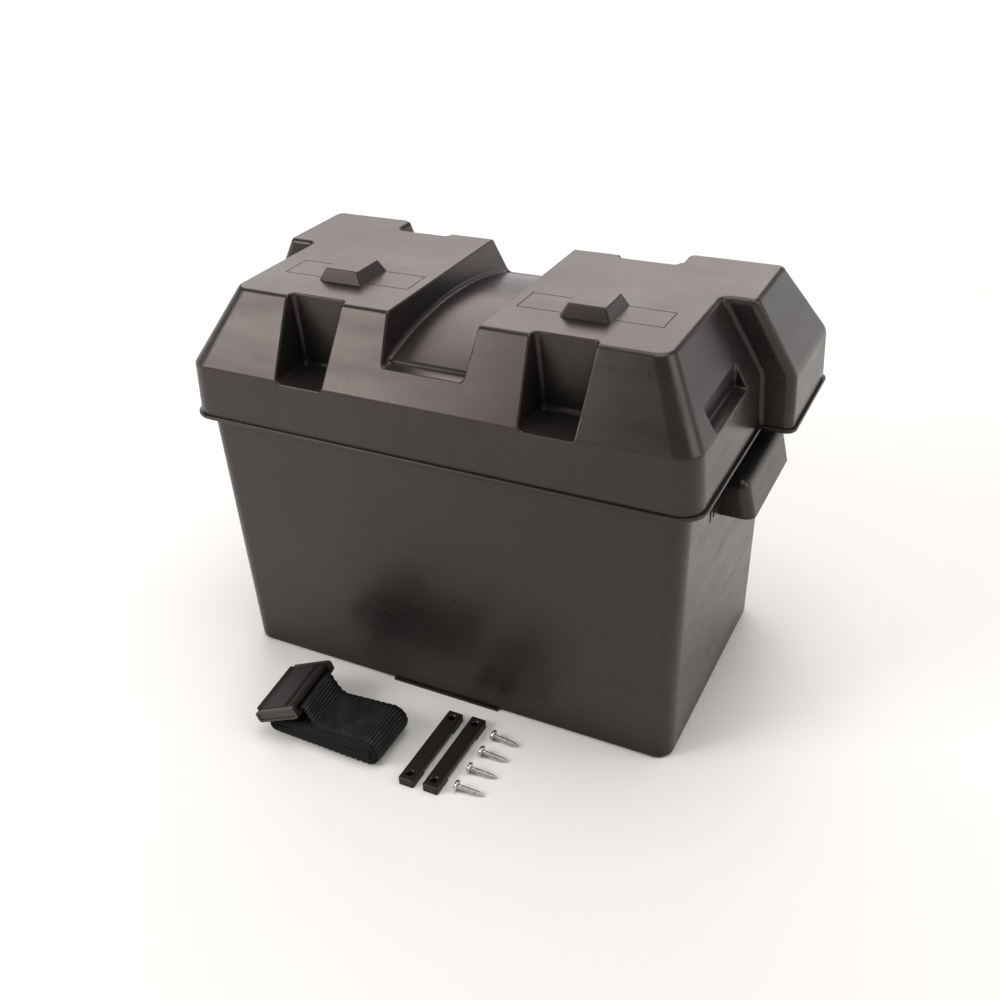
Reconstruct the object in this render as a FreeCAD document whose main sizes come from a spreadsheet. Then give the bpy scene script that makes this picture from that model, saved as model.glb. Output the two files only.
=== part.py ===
"""Battery box with a lift-off vented lid, and its loose hold-down kit.

The box is a moulded tub with a carrying ledge on each end and a lid with cable hoods at its two rear
corners. Beside it lie a coiled webbing strap with a cam buckle, two strap brackets and their four screws.
Millimetres. The origin is the centre of the tub's underside, +X runs to the right-hand end, -Y is the
front and +Z is up.
"""

import FreeCAD, Part
import math
import os
import re

import Sketcher
from FreeCAD import Placement, Rotation, Vector

DIMENSIONS = {
    # how far a cutting piece runs past a surface that it opens: closely, through a slope, and by a hair
    "cut_clear": 1.0,
    "cut_reach": 10.0,
    "overlap": 0.01,
    # tub
    "wall": 3.0,
    "tub_height": 222.0,
    "base_half_x": 170.0,
    "base_half_y": 95.3,
    "brim_half_x": 175.2,
    "brim_half_y": 96.9,
    "tub_corner": 12.0,
    "base_edge": 3.0,
    "flange_out": 1.9,
    "flange_thick": 4.0,
    "floor_rib_high": 4.0,
    "floor_rib_thick": 2.5,
    "pad_half_x": 43.0,
    "pad_out": 1.6,
    "pad_thick": 2.0,
    # carrying ledges
    "ledge_front_y": -21.0,
    "ledge_rear_y": 70.0,
    "ledge_low": 155.0,
    "ledge_high": 181.0,
    "ledge_low_x": 195.4,
    "ledge_high_x": 189.6,
    "ledge_root_x": 173.0,
    "ledge_gap_x": 177.0,
    "ledge_edge": 7.0,
    "ledge_wall_low": 2.9,
    "ledge_wall_high": 2.4,
    "gusset_low": 163.0,
    "gusset_thick": 1.8,
    "gusset_low_out": 4.2,
    "gusset_first_y": -30.0,
    "gusset_pitch": 7.0,
    # lid
    "lid_wall": 2.6,
    "lip_level": 197.3,
    "lip_half_x": 182.9,
    "lip_half_y": 102.2,
    "shoulder_level": 236.4,
    "shoulder_half_x": 180.6,
    "shoulder_half_y": 101.8,
    "crown_level": 285.1,
    "crown_half_x": 153.1,
    "crown_half_y": 73.0,
    "lid_corner": 15.0,
    "crown_corner": 11.0,
    "bead_out": 1.9,
    "bead_high": 2.6,
    "bead_edge": 0.91,
    "lid_edge": 4.0,
    # cable hoods at the lid's rear corners
    "hood_inner_x": 109.5,
    "hood_lip_x": 204.6,
    "hood_shoulder_x": 203.4,
    "hood_crown_x": 175.6,
    "hood_front_low": 24.6,
    "hood_front_high": 22.2,
    "hood_lip_y": 116.0,
    "hood_shoulder_y": 114.2,
    "hood_crown_y": 90.3,
    "hood_corner": 6.0,
    "seam_edge": 3.5,
    # strap channel across the lid
    "channel_low_half": 29.0,
    "channel_high_half": 32.1,
    "channel_apex": 268.6,
    "channel_radius": 300.0,
    "channel_ledge": 254.6,
    "channel_arch_half": 79.0,
    "channel_blend": 4.0,
    "channel_edge": 3.0,
    # hand pockets
    "pocket_floor": 235.0,
    "pocket_top": 300.0,
    "pocket_low_in": 70.3,
    "pocket_low_out": 106.1,
    "pocket_high_in": 65.0,
    "pocket_high_out": 109.9,
    "pocket_low_y": 67.6,
    "pocket_high_y": 67.2,
    "pocket_edge": 3.5,
    "rim_edge": 1.2,
    # notches in the lid's ends
    "notch_back": 171.0,
    "notch_floor": 237.4,
    "notch_top": 277.4,
    "notch_front_y": -65.0,
    "notch_rear_y": -1.6,
    "notch_edge": 2.0,
    # raised vent caps and the fine line round each of them
    "cap_centre_x": 88.0,
    "cap_centre_y": -26.0,
    "cap_low_half_x": 17.2,
    "cap_low_half_y": 16.4,
    "cap_high_half_x": 12.6,
    "cap_high_half_y": 12.9,
    "cap_high": 8.2,
    "cap_sunk": 0.5,
    "cap_edge": 1.5,
    "frame_half_x": 48.5,
    "frame_half_y": 12.3,
    "frame_centre_y": -24.2,
    "line_wide": 0.7,
    "line_deep": 0.4,
    # stops inside the lid
    "stop_near_x": 50.0,
    "stop_far_x": 140.0,
    "stop_thick": 2.4,
    "stop_reach": 7.0,
    "stop_high": 30.0,
    # webbing strap, wound up flat
    "strap_wide": 40.0,
    "coil_middle_y": -159.8,
    "coil_left": -97.0,
    "coil_right": -4.0,
    "coil_left_radius": 7.6,
    "coil_right_radius": 11.0,
    "lead_thick": 1.4,
    # cam buckle, in its own frame: long way along X, its underside at Z 0
    "buckle_long": 35.0,
    "buckle_wide": 54.0,
    "buckle_thick": 8.6,
    "cheek_thick": 3.2,
    "cheek_edge": 2.2,
    "panel_margin": 1.9,
    "panel_deep": 0.5,
    "base_thick": 1.6,
    "base_long": 20.0,
    "bar_long": 4.8,
    "bar_thick": 3.0,
    "bar_above": 0.4,
    "crossbar_inset": 1.0,
    "pin_radius": 1.25,
    "pin_clearance": 0.05,
    "pin_along": 11.0,
    "pin_above": 5.2,
    "pin_inset": 0.8,
    "pin_edge": 0.3,
    "cam_radius": 3.0,
    "lever_thick": 2.0,
    "lever_proud": 0.2,
    "lever_gap": 0.4,
    "lever_right": 7.5,
    "lever_bevel": 1.5,
    "web_left": 5.5,
    "web_low": 4.0,
    "web_high": 7.4,
    "curl_long": 3.4,
    "curl_tip": 0.8,
    "curl_high": 1.4,
    "grip_long": 2.0,
    "grip_high": 1.8,
    # strap brackets
    "bracket_long": 71.0,
    "bracket_wide": 11.2,
    "bracket_high": 6.2,
    "slot_long": 41.0,
    "slot_high": 2.3,
    "bracket_hole": 2.3,
    "sink_top": 3.1,
    "sink_high": 0.7,
    "hole_spacing": 58.0,
    "bracket_chamfer": 1.0,
    # self-tapping screws
    "screw_long": 19.0,
    "screw_radius": 2.1,
    "screw_point": 5.0,
    "screw_tip": 0.1,
    "head_radius": 4.0,
    "head_high": 2.6,
    "head_edge": 1.8,
    "recess_reach": 2.1,
    "recess_half": 0.5,
    "recess_deep": 1.3,
}

TOUCHING = 0.01
LEAD_START = Vector(-50.0, 0, 18.0)
LEAD_END = Vector(-68.6, 0, 25.7)
BUCKLE_SEAT = Vector(-83.8, -157.9, 19.3)
BUCKLE_YAW = 6.0
BUCKLE_TILT = 22.0
BRACKET_CENTRES = (Vector(19.5, -150.2, 0.0), Vector(37.2, -149.0, 0.0))
SCREW_HEADS = (
    (Vector(54.3, -123.1, 0.0), -0.5),
    (Vector(53.8, -140.1, 0.0), 3.1),
    (Vector(53.8, -157.1, 0.0), 4.5),
    (Vector(53.4, -174.7, 0.0), 6.0),
)

doc = FreeCAD.newDocument("battery_box")
sheet = doc.addObject("Spreadsheet::Sheet", "Dims")
for row, (alias, size) in enumerate(DIMENSIONS.items(), start=1):
    sheet.set(f"A{row}", alias)
    sheet.set(f"B{row}", str(size))
    sheet.setAlias(f"B{row}", alias)
doc.recompute()


def formula(text):
    """The formula with each dimension's name pointing at its cell of the sheet."""
    return re.sub(
        r"[a-z][a-z_]*",
        lambda found: f"Dims.{found[0]}" if found[0] in DIMENSIONS else found[0],
        str(text),
    )


def number(text):
    """What the formula comes to, in millimetres."""
    return float(sheet.evalExpression(formula(text)))


def bind(item, **formulas):
    """Ties the item's properties to the sheet; a double underscore in a name stands for a dot."""
    for name, text in formulas.items():
        item.setExpression(name.replace("__", "."), formula(text))
    return item


def mirrored(pair, side):
    """The low and high formulas of a range on the side +1, or of its mirror image on the side -1."""
    low, high = pair
    return (low, high) if side > 0 else (f"-({high})", f"-({low})")


def rounded_rectangle(name, x, y, z, radius):
    """A constrained sketch at height z of a rectangle with round corners; x and y are (low, high)."""
    sketch = doc.addObject("Sketcher::SketchObject", name)
    left, right = number(x[0]), number(x[1])
    front, rear = number(y[0]), number(y[1])
    r = number(radius)
    line, arc, turn = Part.LineSegment, Part.ArcOfCircle, math.pi / 2
    centres = (
        (right - r, front + r, -turn),
        (right - r, rear - r, 0.0),
        (left + r, rear - r, turn),
        (left + r, front + r, 2 * turn),
    )
    ends = (
        ((left + r, front), (right - r, front)),
        ((right, front + r), (right, rear - r)),
        ((right - r, rear), (left + r, rear)),
        ((left, rear - r), (left, front + r)),
    )
    for (start, stop), (cx, cy, angle) in zip(ends, centres):
        sketch.addGeometry(line(Vector(*start, 0), Vector(*stop, 0)))
        circle = Part.Circle(Vector(cx, cy, 0), Vector(0, 0, 1), r)
        sketch.addGeometry(arc(circle, angle, angle + turn))
    rule = Sketcher.Constraint
    for side in range(4):
        sketch.addConstraint(rule("Tangent", 2 * side, 2, 2 * side + 1, 1))
        sketch.addConstraint(rule("Tangent", 2 * side + 1, 2, (2 * side + 2) % 8, 1))
        if side:
            sketch.addConstraint(rule("Equal", 1, 2 * side + 1))
    for side in (0, 2):
        sketch.addConstraint(rule("Horizontal", 2 * side))
    sketch.addConstraint(rule("Vertical", 2))
    sized = (
        ("right", rule("DistanceX", -1, 1, 2, 1, right), x[1]),
        ("left", rule("DistanceX", -1, 1, 6, 1, left), x[0]),
        ("rear", rule("DistanceY", -1, 1, 4, 1, rear), y[1]),
        ("front", rule("DistanceY", -1, 1, 0, 1, front), y[0]),
        ("radius", rule("Radius", 1, r), radius),
    )
    for label, constraint, text in sized:
        index = sketch.addConstraint(constraint)
        sketch.renameConstraint(index, label)
        sketch.setExpression(f"Constraints.{label}", formula(text))
    return bind(sketch, Placement__Base__z=z)


def loft(name, levels):
    """A solid with straight sides through rounded rectangles, each (x, y, z, radius)."""
    solid = doc.addObject("Part::Loft", name)
    solid.Sections = [rounded_rectangle(f"{name}_level_{i}", *level) for i, level in enumerate(levels)]
    solid.Solid = True
    solid.Ruled = True
    return solid


def slab(name, x, y, z, radius):
    """An upright solid with round corners; x, y and z are (low, high)."""
    return loft(name, ((x, y, z[0], radius), (x, y, z[1], radius)))


def taper(name, z, low_x, low_y, high_x, high_y):
    """A block whose rectangle low_x by low_y at z[0] becomes high_x by high_y at z[1]."""
    block = doc.addObject("Part::Wedge", name)
    block.Placement = Placement(Vector(), Rotation(Vector(1, 0, 0), 90))
    return bind(
        block,
        Ymin=z[0],
        Ymax=z[1],
        Xmin=low_x[0],
        Xmax=low_x[1],
        Zmin=f"-({low_y[1]})",
        Zmax=f"-({low_y[0]})",
        X2min=high_x[0],
        X2max=high_x[1],
        Z2min=f"-({high_y[1]})",
        Z2max=f"-({high_y[0]})",
    )


def block(name, x, y, z):
    """A plain box; x, y and z are (low, high)."""
    return taper(name, z, x, y, x, y)


def cylinder(name, radius, length, axis, **place):
    """A cylinder of the length along the axis from the place."""
    item = doc.addObject("Part::Cylinder", name)
    item.Placement = Placement(Vector(), Rotation(Vector(0, 0, 1), axis))
    return bind(item, Radius=radius, Height=length, **place)


def fuse(name, items):
    item = doc.addObject("Part::MultiFuse", name)
    item.Shapes = items
    item.Refine = True
    return item


def cut(name, base, tool):
    item = doc.addObject("Part::Cut", name)
    item.Base = base
    item.Tool = tool
    item.Refine = True
    return item


def common(name, items):
    item = doc.addObject("Part::MultiCommon", name)
    item.Shapes = items
    return item


def fillet(name, base, radius, chosen):
    """The base with the chosen edges rounded; chosen is a test of one edge."""
    doc.recompute()
    item = doc.addObject("Part::Fillet", name)
    item.Base = base
    r = number(radius)
    item.Edges = [(i, r, r) for i, edge in enumerate(base.Shape.Edges, start=1) if chosen(edge)]
    return item


def middle(edge):
    """The middle of an edge."""
    return edge.valueAt((edge.FirstParameter + edge.LastParameter) / 2)


def level_with(edge, height):
    """Whether the whole edge lies at the height."""
    box = edge.BoundBox
    return abs(box.ZMin - height) < 0.02 and abs(box.ZMax - height) < 0.02


def both_ways(half):
    return (f"-({half})", half)


# ---------------------------------------------------------------------------------------------- tub
def make_ledge(side):
    """A carrying ledge: a flared hood on the end wall, open underneath for the fingers."""
    name = "right_ledge" if side > 0 else "left_ledge"
    y = ("ledge_front_y", "ledge_rear_y")
    shell = taper(
        f"{name}_block",
        ("ledge_low", "ledge_high"),
        mirrored(("ledge_root_x", "ledge_low_x"), side),
        y,
        mirrored(("ledge_root_x", "ledge_high_x"), side),
        y,
    )

    def outer(edge):
        point = middle(edge)
        beyond = abs(point.x) > number("ledge_root_x") + 1
        return beyond and not level_with(edge, number("ledge_low"))

    shell = fillet(f"{name}_shell", shell, "ledge_edge", outer)
    inside_y = ("ledge_front_y + wall", "ledge_rear_y - wall")
    gap = taper(
        f"{name}_gap",
        ("ledge_low - cut_clear", "ledge_high - wall"),
        mirrored(("ledge_gap_x", "ledge_low_x - ledge_wall_low"), side),
        inside_y,
        mirrored(("ledge_gap_x", "ledge_high_x - ledge_wall_high"), side),
        inside_y,
    )
    gap_rounded = fillet(f"{name}_gap_rounded", gap, "ledge_edge - wall", lambda edge: (
        abs(middle(edge).x) > number("ledge_gap_x") + 1
        and not level_with(edge, number("ledge_low - cut_clear"))
    ))
    return cut(name, shell, gap_rounded)


def make_gussets(side):
    """Thin upright fins under the flange, on the end wall in front of the ledge."""
    name = "right_gusset" if side > 0 else "left_gusset"
    fins = []
    for i in range(3):
        y = (
            f"gusset_first_y - gusset_pitch * {i} - gusset_thick / 2",
            f"gusset_first_y - gusset_pitch * {i} + gusset_thick / 2",
        )
        fins.append(
            taper(
                f"{name}_{i + 1}",
                ("gusset_low", "tub_height - flange_thick"),
                mirrored(("base_half_x - wall / 2", "base_half_x + gusset_low_out"), side),
                y,
                mirrored(("base_half_x - wall / 2", "brim_half_x + flange_out"), side),
                y,
            )
        )
    return fins


def make_tub():
    base = (both_ways("base_half_x"), both_ways("base_half_y"), "0", "tub_corner")
    brim = (both_ways("brim_half_x"), both_ways("brim_half_y"), "tub_height", "tub_corner")
    walls = loft("tub_walls", (base, brim))
    rounded = fillet("tub_walls_rounded", walls, "base_edge", lambda edge: level_with(edge, 0))
    flange = slab(
        "tub_flange",
        both_ways("brim_half_x + flange_out"),
        both_ways("brim_half_y + flange_out"),
        ("tub_height - flange_thick", "tub_height"),
        "tub_corner + flange_out",
    )
    pads = [
        block(
            f"base_pad_{label}",
            both_ways("pad_half_x"),
            mirrored(("base_half_y - wall", "base_half_y + pad_out"), side),
            ("0", "pad_thick"),
        )
        for label, side in (("front", -1), ("rear", 1))
    ]
    fittings = []
    for side in (-1, 1):
        fittings.append(make_ledge(side))
        fittings.extend(make_gussets(side))
    outside = fuse("tub_outside", [rounded, flange, *pads, *fittings])
    inside = loft(
        "tub_inside",
        (
            (both_ways("base_half_x - wall"), both_ways("base_half_y - wall"), "wall", "tub_corner - wall"),
            (
                both_ways("brim_half_x - wall"),
                both_ways("brim_half_y - wall"),
                "tub_height + overlap",
                "tub_corner - wall",
            ),
        ),
    )
    hollow = cut("tub_hollow", outside, inside)
    ribs = [
        block(
            f"floor_rib_{i + 1}",
            (f"{x} - floor_rib_thick / 2", f"{x} + floor_rib_thick / 2"),
            both_ways("base_half_y - wall / 2"),
            ("wall / 2", "wall + floor_rib_high"),
        )
        for i, x in enumerate((-130, -78, -26, 26, 78, 130))
    ]
    return fuse("tub", [hollow, *ribs])


# ---------------------------------------------------------------------------------------------- lid
def lid_form(name, inset):
    """The lid's outer form, or with an inset the space inside it: the main cover and two cable hoods.

    Where the sides slope, an inset of one wall moves them in by about 1.15 walls.
    """
    w = f"{inset} * lid_wall"
    bottom = f"lip_level - overlap * {inset}"
    shoulder = f"shoulder_level - {w} * 0.27"
    crown = f"crown_level - {w}"
    corner = f"lid_corner - {w}"
    covers = [
        loft(
            f"{name}_cover",
            (
                (both_ways(f"lip_half_x - {w}"), both_ways(f"lip_half_y - {w}"), bottom, corner),
                (both_ways(f"shoulder_half_x - {w}"), both_ways(f"shoulder_half_y - {w}"), shoulder, corner),
                (
                    both_ways(f"crown_half_x - {w} * 0.59"),
                    both_ways(f"crown_half_y - {w} * 0.57"),
                    crown,
                    f"crown_corner - {w}",
                ),
            ),
        )
    ]
    for label, side in (("left", -1), ("right", 1)):
        low, high = f"hood_front_low + {w}", f"hood_front_high + {w}"
        levels = (
            (f"hood_lip_x - {w}", low, f"hood_lip_y - {w}", bottom),
            (f"hood_shoulder_x - {w}", low, f"hood_shoulder_y - {w}", shoulder),
            (f"hood_crown_x - {w} * 0.59", high, f"hood_crown_y - {w} * 0.57", crown),
        )
        inner, radius = f"hood_inner_x + {w}", f"hood_corner - {w}"
        covers.append(
            loft(
                f"{name}_{label}_hood",
                [
                    (mirrored((inner, x), side), (front, rear), z, radius)
                    for x, front, rear, z in (levels if inset else eased(levels))
                ],
            )
        )
    return covers


def eased(levels):
    """The three levels of a hood with its shoulder eased into a curve, as levels of their own."""
    lip, shoulder, crown = levels
    steps = 4
    curve = []
    for i in range(steps + 1):
        t = i / steps
        down = f"lid_edge * {(1 - t) ** 2} / (shoulder_level - lip_level)"
        up = f"lid_edge * {t ** 2} / (crown_level - shoulder_level)"
        curve.append(
            tuple(
                f"{at} + (({below}) - ({at})) * {down} + (({above}) - ({at})) * {up}"
                for below, at, above in zip(lip, shoulder, crown)
            )
        )
    return [lip, *curve, crown]


def make_seam(name, side, corners):
    """Rounds the inner corner between the main cover's end and a hood's front, by filling it.

    The corners are the seam's (x, y) at the lip, shoulder and crown.
    """
    levels = ("lip_level", "shoulder_level", "crown_level")
    filled = [
        (
            mirrored((f"{x} - cut_clear", f"{x} + seam_edge"), side),
            (f"{y} - seam_edge", f"{y} + cut_clear"),
        )
        for x, y in corners
    ]
    walls = [taper(f"{name}_wall_{i}", levels[i : i + 2], *filled[i], *filled[i + 1]) for i in range(2)]
    column = loft(
        f"{name}_column",
        [
            (mirrored((x, f"{x} + seam_edge * 4"), side), (f"{y} - seam_edge * 4", y), z, "seam_edge")
            for (x, y), z in zip(corners, levels)
        ],
    )
    return cut(name, fuse(f"{name}_walls", walls), column)


def make_covers():
    """The main cover and the hoods as one form, its shoulder, seams and crown edges rounded."""
    cover, *hoods = lid_form("lid_outer", 0)
    eased_cover = fillet(
        "cover_rounded", cover, "lid_edge", lambda edge: level_with(edge, number("shoulder_level"))
    )
    seams = []
    for label, side in (("left", -1), ("right", 1)):
        corners = (
            ("lip_half_x", "hood_front_low"),
            ("shoulder_half_x", "hood_front_low"),
            ("crown_half_x", "hood_front_high"),
        )
        seams.append(make_seam(f"{label}_seam", side, corners))
    covers = fuse("lid_covers", [eased_cover, *hoods, *seams])
    crown = number("crown_level")
    return fillet("lid_covers_rounded", covers, "lid_edge", lambda edge: level_with(edge, crown))


def make_bead():
    """The rolled bead along the lid's lower edge."""
    z = ("lip_level", "lip_level + bead_high")
    pieces = [
        slab(
            "bead_cover",
            both_ways("lip_half_x + bead_out"),
            both_ways("lip_half_y + bead_out"),
            z,
            "lid_corner + bead_out",
        )
    ]
    for label, side in (("left", -1), ("right", 1)):
        pieces.append(
            slab(
                f"bead_{label}_hood",
                mirrored(("hood_inner_x - bead_out", "hood_lip_x + bead_out"), side),
                ("hood_front_low - bead_out", "hood_lip_y + bead_out"),
                z,
                "hood_corner + bead_out",
            )
        )

    def around(edge):
        return any(level_with(edge, number(level)) for level in z)

    return [fillet(f"{item.Name}_rounded", item, "bead_edge", around) for item in pieces]


def channel_profile(name, grow):
    """A constrained sketch in the YZ plane of the space over the channel's floor.

    The floor is an arch that runs down into a level ledge at each end through an S-bend of two arcs. With
    grow above 0 the floor is lower by some walls, about the same centres.
    """
    sketch = doc.addObject("Sketcher::SketchObject", name)
    sketch.Placement = Placement(
        Vector(), Rotation(Vector(0, 1, 0), Vector(0, 0, 1), Vector(1, 0, 0), "XYZ")
    )
    w = f"{grow} * lid_wall"
    sizes = {
        "arch_radius": f"channel_radius - {w}",
        "arch_middle": "channel_apex - channel_radius",
        "bend_radius": f"channel_blend - {w}",
        "foot_radius": f"channel_blend + {w}",
        "bend_middle": "channel_arch_half",
        "ledge": f"channel_ledge - {w}",
        "reach": "hood_lip_y + cut_reach",
        "top": "crown_level + 2 * cut_clear",
    }
    size = {label: number(text) for label, text in sizes.items()}
    bend_y, arch_z = size["bend_middle"], size["arch_middle"]
    ledge, reach, top = size["ledge"], size["reach"], size["top"]
    bend_z = arch_z + math.sqrt((size["arch_radius"] - size["bend_radius"]) ** 2 - bend_y**2)
    foot_z = ledge + size["foot_radius"]
    foot_y = bend_y + math.sqrt((size["bend_radius"] + size["foot_radius"]) ** 2 - (bend_z - foot_z) ** 2)
    high, low = math.atan2(bend_z - arch_z, bend_y), math.atan2(foot_z - bend_z, foot_y - bend_y)

    def arc(y, z, radius, start, stop):
        return Part.ArcOfCircle(Part.Circle(Vector(y, z, 0), Vector(0, 0, 1), radius), start, stop)

    def line(*ends):
        return Part.LineSegment(*[Vector(y, z, 0) for y, z in ends])

    half = math.pi / 2
    sketch.addGeometry(
        [
            arc(0, arch_z, size["arch_radius"], high, math.pi - high),
            arc(bend_y, bend_z, size["bend_radius"], low, high),
            arc(foot_y, foot_z, size["foot_radius"], low + math.pi, 3 * half),
            line((foot_y, ledge), (reach, ledge)),
            line((reach, ledge), (reach, top)),
            line((reach, top), (-reach, top)),
            line((-reach, top), (-reach, ledge)),
            line((-reach, ledge), (-foot_y, ledge)),
            arc(-foot_y, foot_z, size["foot_radius"], -half, -low),
            arc(-bend_y, bend_z, size["bend_radius"], math.pi - high, math.pi - low),
        ]
    )
    rule = Sketcher.Constraint
    for kind, *ends in (
        ("Tangent", 0, 1, 1, 2),
        ("Tangent", 1, 1, 2, 1),
        ("Tangent", 2, 2, 3, 1),
        ("Coincident", 3, 2, 4, 1),
        ("Coincident", 4, 2, 5, 1),
        ("Coincident", 5, 2, 6, 1),
        ("Coincident", 6, 2, 7, 1),
        ("Tangent", 7, 2, 8, 1),
        ("Tangent", 8, 2, 9, 2),
        ("Tangent", 9, 1, 0, 2),
        ("Horizontal", 3),
        ("Vertical", 4),
        ("Horizontal", 7),
        ("Symmetric", 4, 1, 6, 2, -2),
        ("Symmetric", 4, 2, 5, 2, -2),
        ("Symmetric", 1, 3, 9, 3, -2),
        ("Equal", 1, 9),
        ("Equal", 2, 8),
    ):
        sketch.addConstraint(rule(kind, *ends))
    for label, constraint in (
        ("arch_radius", rule("Radius", 0, size["arch_radius"])),
        ("arch_middle", rule("DistanceY", -1, 1, 0, 3, arch_z)),
        ("bend_radius", rule("Radius", 1, size["bend_radius"])),
        ("foot_radius", rule("Radius", 2, size["foot_radius"])),
        ("bend_middle", rule("DistanceX", -1, 1, 1, 3, bend_y)),
        ("ledge", rule("DistanceY", -1, 1, 3, 1, ledge)),
        ("reach", rule("DistanceX", -1, 1, 4, 1, reach)),
        ("top", rule("DistanceY", -1, 1, 5, 1, top)),
    ):
        index = sketch.addConstraint(constraint)
        sketch.renameConstraint(index, label)
        sketch.setExpression(f"Constraints.{label}", formula(sizes[label]))
    return sketch


def make_channel(name, grow):
    """What the strap channel takes out of the lid, larger by some walls with grow above 0."""
    w = f"{grow} * lid_wall"
    reach = both_ways("hood_lip_y + cut_reach")
    trough = taper(
        f"{name}_trough",
        (f"channel_ledge - {w}", "crown_level + 2 * cut_clear"),
        both_ways(f"channel_low_half + {w}"),
        reach,
        both_ways(f"channel_high_half + {w}"),
        reach,
    )
    floor = doc.addObject("Part::Extrusion", f"{name}_floor")
    floor.Base = channel_profile(f"{name}_profile", grow)
    floor.Dir = Vector(1, 0, 0)
    floor.Solid = True
    floor.Symmetric = True
    bind(floor, LengthFwd="channel_high_half * 4")
    plain = common(f"{name}_plain", [trough, floor])
    if grow:
        return plain

    def floor_edge(edge):
        point = middle(edge)
        beside = abs(point.x) > number("channel_low_half / 2")
        inside = abs(point.y) < number("hood_lip_y + cut_reach - cut_clear")
        return beside and inside and point.z < number("channel_apex + channel_edge")

    return fillet(name, plain, "channel_edge", floor_edge)


def make_pocket(name, side_x, side_y, grow):
    """What one hand pocket takes out of the lid's slope."""
    w = f"{grow} * lid_wall"
    pocket = taper(
        f"{name}_block",
        (f"pocket_floor - {w}", "pocket_top"),
        mirrored((f"pocket_low_in - {w}", f"pocket_low_out + {w}"), side_x),
        mirrored((f"pocket_low_y - {w}", "hood_lip_y + cut_reach"), side_y),
        mirrored((f"pocket_high_in - {w}", f"pocket_high_out + {w}"), side_x),
        mirrored((f"pocket_high_y - {w}", "hood_lip_y + cut_reach"), side_y),
    )
    if grow:
        return pocket

    def inner_edge(edge):
        point = middle(edge)
        below = point.z < number("pocket_top - cut_clear")
        return below and abs(point.y) < number("hood_lip_y + cut_reach - cut_clear")

    return fillet(name, pocket, "pocket_edge", inner_edge)


def make_notch(name, side, grow):
    """What the long notch in one end slope takes out of the lid."""
    w = f"{grow} * lid_wall"
    x = mirrored((f"notch_back - {w}", "hood_lip_x + cut_reach"), side)
    y = (f"notch_front_y - {w}", f"notch_rear_y + {w}")
    notch = block(name, x, y, (f"notch_floor - {w}", "notch_top"))
    if grow:
        return notch

    def inner_edge(edge):
        point = middle(edge)
        below = point.z < number("notch_top - cut_clear")
        return below and abs(point.x) < number("hood_lip_x + cut_reach - cut_clear")

    return fillet(f"{name}_rounded", notch, "notch_edge", inner_edge)


def hollows(name, grow):
    """Everything that is taken out of the lid's outer form from outside."""
    items = [make_channel(f"{name}_channel", grow)]
    for side_x in (-1, 1):
        end = "left" if side_x < 0 else "right"
        for side_y in (-1, 1):
            face = "front" if side_y < 0 else "rear"
            items.append(make_pocket(f"{name}_pocket_{face}_{end}", side_x, side_y, grow))
        items.append(make_notch(f"{name}_notch_{end}", side_x, grow))
    return items


def make_cap(side):
    """A raised vent cap on the crown."""
    name = "right_cap" if side > 0 else "left_cap"
    halves = ("cap_low_half_x", "cap_high_half_x")
    x = [mirrored((f"cap_centre_x - {h}", f"cap_centre_x + {h}"), side) for h in halves]
    y = [(f"cap_centre_y - {h}", f"cap_centre_y + {h}") for h in ("cap_low_half_y", "cap_high_half_y")]
    z = ("crown_level - cap_sunk", "crown_level + cap_high")
    return fillet(
        f"{name}_rounded",
        taper(name, z, x[0], y[0], x[1], y[1]),
        "cap_edge",
        lambda edge: not level_with(edge, number(z[0])),
    )


def make_frame_line(side):
    """The fine groove that frames a vent cap."""
    name = "right_line" if side > 0 else "left_line"
    z = ("crown_level - line_deep", "crown_level + cut_clear")
    outer_x = mirrored(("cap_centre_x - frame_half_x", "cap_centre_x + frame_half_x"), side)
    outer_y = ("frame_centre_y - frame_half_y", "frame_centre_y + frame_half_y")
    inner_x = (f"{outer_x[0]} + line_wide", f"{outer_x[1]} - line_wide")
    inner_y = (f"{outer_y[0]} + line_wide", f"{outer_y[1]} - line_wide")
    ring = cut(
        f"{name}_ring",
        block(f"{name}_outer", outer_x, outer_y, z),
        block(f"{name}_inner", inner_x, inner_y, ("crown_level - cut_clear", "crown_level + 2 * cut_clear")),
    )
    under_cap = block(
        f"{name}_under_cap",
        mirrored(("cap_centre_x - cap_low_half_x", "cap_centre_x + cap_low_half_x"), side),
        ("cap_centre_y - cap_low_half_y", "cap_centre_y + cap_low_half_y"),
        ("crown_level - cut_clear", "crown_level + 2 * cut_clear"),
    )
    return cut(name, ring, under_cap)


def make_stops(inside):
    """Fins inside the lid that stand on the tub's rim."""
    z = ("tub_height", "tub_height + stop_high")
    plates = []
    near, far = ("-stop_near_x", "stop_near_x"), ("-stop_far_x", "stop_far_x")
    for label, side, places in (("front", -1, near + far), ("rear", 1, near)):
        for index, x in enumerate(places, start=1):
            plates.append(
                block(
                    f"stop_{label}_{index}",
                    (f"{x} - stop_thick / 2", f"{x} + stop_thick / 2"),
                    mirrored(("lip_half_y - lid_wall - stop_reach", "lip_half_y + cut_clear"), side),
                    z,
                )
            )
    return common("lid_stops", [fuse("lid_stop_plates", plates), inside])


def round_rims(carved, covers):
    """Rounds the edges where the channel, pockets and notches open through the covers' skin."""
    doc.recompute()
    tools = carved.Tool.Shape.Shells
    skin = covers.Shape.Shells

    def on_any(shells, point):
        return any(shell.distToShape(Part.Vertex(point))[0] < TOUCHING for shell in shells)

    def rim(edge):
        point = middle(edge)
        return on_any(skin, point) and on_any(tools, point)

    return fillet("lid_rims", carved, "rim_edge", rim)


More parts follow.
